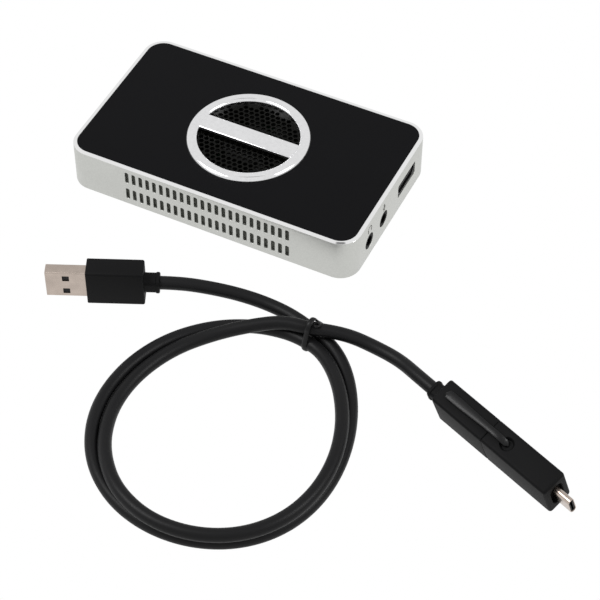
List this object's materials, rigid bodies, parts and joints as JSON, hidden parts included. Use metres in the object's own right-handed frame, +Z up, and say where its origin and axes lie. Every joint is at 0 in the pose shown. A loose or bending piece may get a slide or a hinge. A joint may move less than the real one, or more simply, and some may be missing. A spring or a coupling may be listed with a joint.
{
  "type": "video capture box",
  "caption": "Flat slotted metal box with an inlaid dark top, a chrome ring and crossbar over a fan grille, video and audio sockets, and a tied black USB lead with an adapter",
  "frame": {"origin": "middle of the underside of the box, without the lead", "axes": "+X to the end with the two audio jacks, +Y away from the lead, +Z up through the grille"},
  "size_m": [0.2262, 0.1971, 0.0199],
  "materials": {
    "silver": "satin anodised",
    "plate": "satin dark lacquer",
    "emblem": "polished",
    "mesh": "matte black",
    "steel": "plain steel",
    "nickel": "nickel plated, warm",
    "socket_insert": "moulded",
    "jack": "moulded",
    "board": "solder mask",
    "chip": "moulded",
    "pad": "soft",
    "sink": "extruded",
    "inductor": "pressed powder",
    "capacitor": "drawn can",
    "ceramic": "fired",
    "fan": "moulded",
    "bearing": "sintered",
    "stator": "laminated",
    "winding": "enamelled wire",
    "magnet": "bonded",
    "grip": "fine matte texture",
    "cable": "smooth matte jacket",
    "contacts": "gold plated"
  },
  "bodies": {
    "case": {"frame": "silver", "top_plate": "plate", "bottom_cover": "plate", "cover_screws": "steel", "emblem_ring": "emblem", "grille_mesh": "mesh", "fan_housing": "fan", "fan_bearing": "bearing", "fan_stator": "stator", "fan_winding": "winding", "fan_screws": "steel", "circuit_board": "board", "board_screws": "steel", "right_video_shell": "nickel", "right_video_tongue": "socket_insert", "left_video_shell": "nickel", "left_video_tongue": "socket_insert", "microphone_jack": "jack", "headphone_jack": "jack", "usb_socket_shell": "nickel", "usb_socket_tongue": "socket_insert", "main_chip": "chip", "thermal_pad": "pad", "heat_sink": "sink", "memory_chips": "chip", "controller_chips": "chip", "inductors": "inductor", "capacitors": "capacitor", "chip_capacitors": "ceramic"},
    "fan_rotor": {"fan_rotor": "fan", "fan_shaft": "steel", "fan_magnet": "magnet"},
    "lead": {"usb_plug_grip": "grip", "usb_plug_shell": "nickel", "usb_plug_tongue": "socket_insert", "usb_plug_contacts": "contacts", "cord_start": "cable", "cord_coil": "cable", "cord_end": "cable", "cord_tie": "grip", "far_plug_grip": "grip", "far_plug_shell": "nickel", "far_plug_tongue": "socket_insert", "far_plug_contacts": "contacts"},
    "adapter": {"adapter_body": "grip", "adapter_socket_shell": "nickel", "adapter_socket_tongue": "socket_insert", "usb_c_shell": "nickel", "usb_c_insert": "socket_insert", "tether_strap": "grip"}
  },
  "joints": [
    {"name": "fan_spin", "type": "hinge", "parent": "case", "child": "fan_rotor", "pos_m": [0, 0, 0.0125], "axis": [0, 0, 1], "continuous": true},
    {"name": "lead_lift", "type": "slide", "parent": "case", "child": "lead", "axis": [0, 0, 1], "range_m": [0, 0.06]},
    {"name": "adapter_pull", "type": "slide", "parent": "lead", "child": "adapter", "axis": [0.9239, -0.3827, 0], "range_m": [0, 0.016]}
  ]
}
